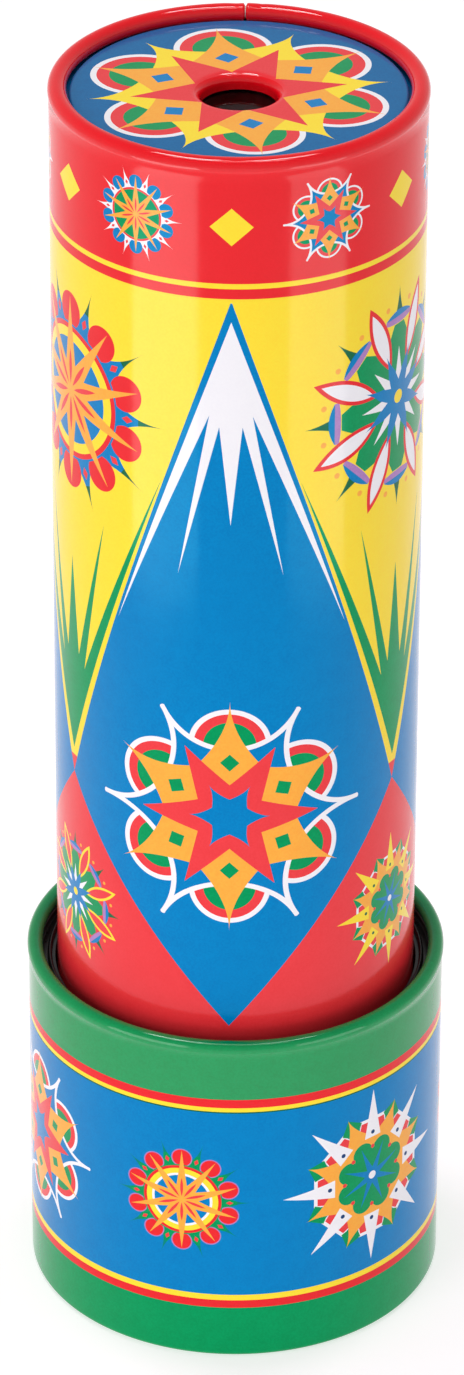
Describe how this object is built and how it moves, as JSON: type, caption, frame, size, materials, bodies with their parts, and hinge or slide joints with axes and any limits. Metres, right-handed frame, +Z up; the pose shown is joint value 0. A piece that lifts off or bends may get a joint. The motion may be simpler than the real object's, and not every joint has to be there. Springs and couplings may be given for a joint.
{
  "type": "kaleidoscope",
  "caption": "Hand-held tin tube with an eye hole over a prism of mirrors, and a turning cup whose loose coloured pieces make changing symmetric patterns.",
  "frame": {"origin": "middle of the cup's underside, on the tube's axis", "axes": "+Z up along the tube's axis, from the cup to the eye hole; -Y is the side with the front lozenge of the print"},
  "size_m": [0.0666, 0.0666, 0.2095],
  "materials": {
    "printed_tin_tube": "glossy lithographed tin, red, yellow, blue and green print",
    "printed_tin_lid": "glossy lithographed tin, blue with a six-fold rosette",
    "printed_tin_cup": "glossy lithographed tin, green, red, yellow and blue bands with rosettes",
    "clear_plastic": "clear, polished",
    "frosted_plastic": "frosted white, lets light through",
    "silvered_glass": "front-silvered strip, polished",
    "grey_card": "plain grey-brown card",
    "black_card": "black card, matte",
    "black_plastic": "black moulded plastic, satin",
    "white_plastic": "white moulded plastic",
    "spring_steel": "bright spring steel",
    "chip_yellow": "tinted clear",
    "chip_blue": "tinted glass",
    "chip_red": "tinted clear",
    "chip_green": "tinted glass",
    "chip_orange": "tinted clear",
    "chip_violet": "tinted clear",
    "chip_pink": "tinted clear",
    "chip_turquoise": "tinted clear"
  },
  "bodies": {
    "tube": {"tin_tube": "printed_tin_tube", "eyepiece_lid": "printed_tin_lid", "eyepiece_window": "clear_plastic", "eyepiece_washer": "black_card", "sighting_card": "black_card", "mirror_1": "silvered_glass", "mirror_2": "silvered_glass", "mirror_3": "silvered_glass", "mirror_foot": "grey_card", "card_liner": "grey_card", "tube_end_window": "clear_plastic", "tube_end_ring": "black_plastic", "swivel_flange": "black_plastic"},
    "cup": {"tin_cup": "printed_tin_cup", "swivel_collar": "black_plastic", "retaining_ring": "spring_steel", "chamber_window": "clear_plastic", "chamber_wall": "white_plastic", "light_diffuser": "frosted_plastic"},
    "loose_star": {"chip_star": "chip_yellow"},
    "loose_bead": {"chip_bead": "chip_blue"},
    "loose_triangle": {"chip_triangle": "chip_red"},
    "loose_rod": {"chip_rod": "chip_green"},
    "loose_hexagon": {"chip_hexagon": "chip_orange"},
    "loose_square": {"chip_square": "chip_violet"},
    "loose_crescent": {"chip_crescent": "chip_pink"},
    "loose_drop": {"chip_drop": "chip_turquoise"}
  },
  "joints": [
    {"name": "cup_turn", "type": "hinge", "parent": "tube", "child": "cup", "pos_m": [0, 0, 0], "axis": [0, 0, 1], "continuous": true},
    {"name": "star_travel", "type": "hinge", "parent": "cup", "child": "loose_star", "pos_m": [0, 0, 0], "axis": [0, 0, 1], "continuous": true},
    {"name": "bead_travel", "type": "hinge", "parent": "cup", "child": "loose_bead", "pos_m": [0, 0, 0], "axis": [0, 0, 1], "continuous": true},
    {"name": "triangle_travel", "type": "hinge", "parent": "cup", "child": "loose_triangle", "pos_m": [0, 0, 0], "axis": [0, 0, 1], "continuous": true},
    {"name": "rod_travel", "type": "hinge", "parent": "cup", "child": "loose_rod", "pos_m": [0, 0, 0], "axis": [0, 0, 1], "continuous": true},
    {"name": "hexagon_travel", "type": "hinge", "parent": "cup", "child": "loose_hexagon", "pos_m": [0, 0, 0], "axis": [0, 0, 1], "continuous": true},
    {"name": "square_travel", "type": "hinge", "parent": "cup", "child": "loose_square", "pos_m": [0, 0, 0], "axis": [0, 0, 1], "continuous": true},
    {"name": "crescent_travel", "type": "hinge", "parent": "cup", "child": "loose_crescent", "pos_m": [0, 0, 0], "axis": [0, 0, 1], "continuous": true},
    {"name": "drop_travel", "type": "hinge", "parent": "cup", "child": "loose_drop", "pos_m": [0, 0, 0], "axis": [0, 0, 1], "continuous": true}
  ]
}
